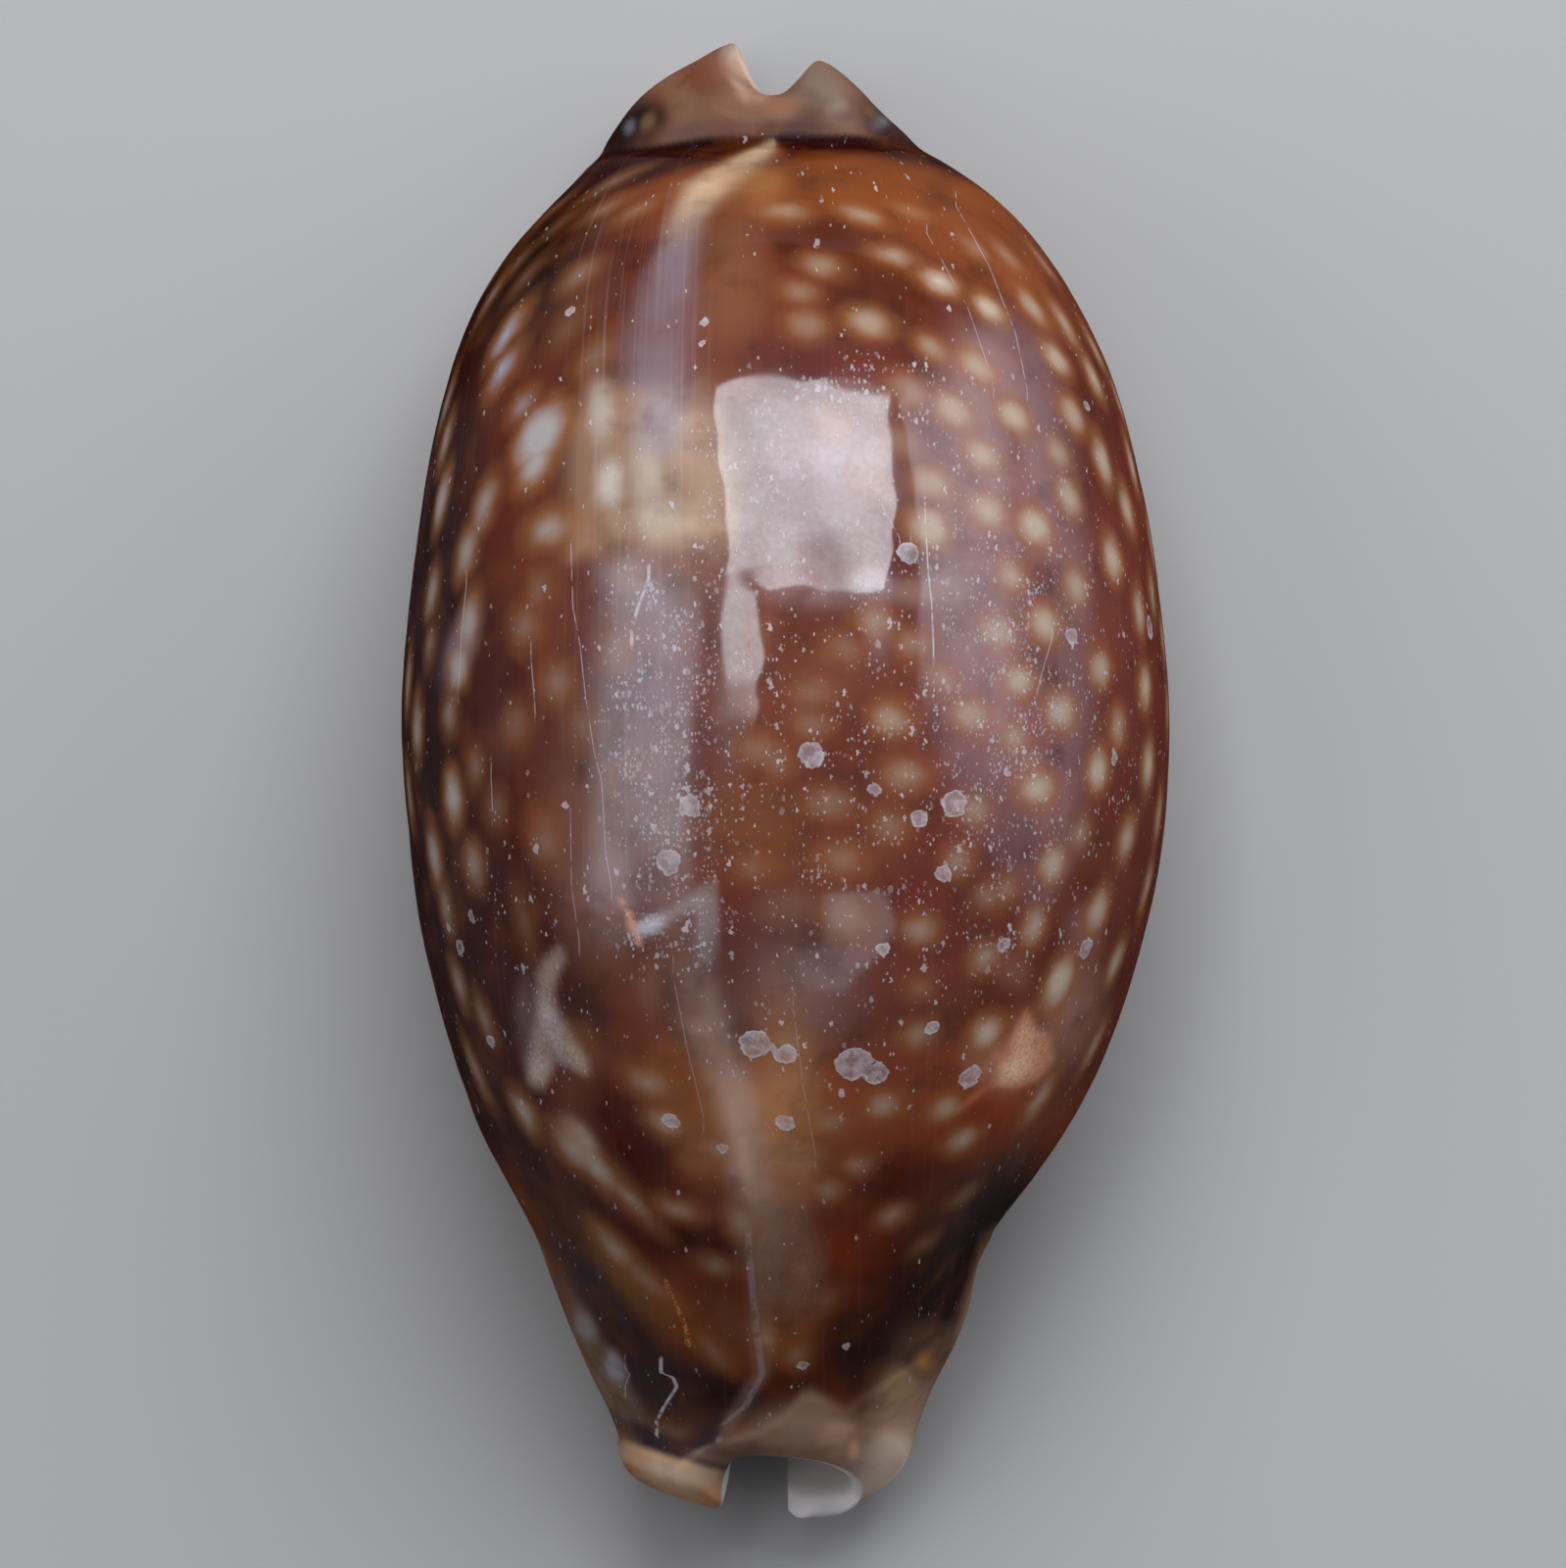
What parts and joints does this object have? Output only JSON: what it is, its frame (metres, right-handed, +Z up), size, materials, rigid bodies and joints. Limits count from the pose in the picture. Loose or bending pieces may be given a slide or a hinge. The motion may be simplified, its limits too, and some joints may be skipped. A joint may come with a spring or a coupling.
{
  "type": "cowrie shell",
  "caption": "Deer cowrie seashell: a glossy egg-shaped shell, hollow inside, with a toothed slit along its flattened base and a notched canal at either end.",
  "frame": {"origin": "On the ground under the middle of the shell's box, between its two lips.", "axes": "+Z up through the back, +Y along the shell to its posterior end over the hidden spire, +X to the columellar side"},
  "size_m": [0.0416, 0.0802, 0.0335],
  "materials": {
    "shell": "glossy"
  },
  "bodies": {
    "root": {"shell": "shell"}
  },
  "joints": []
}
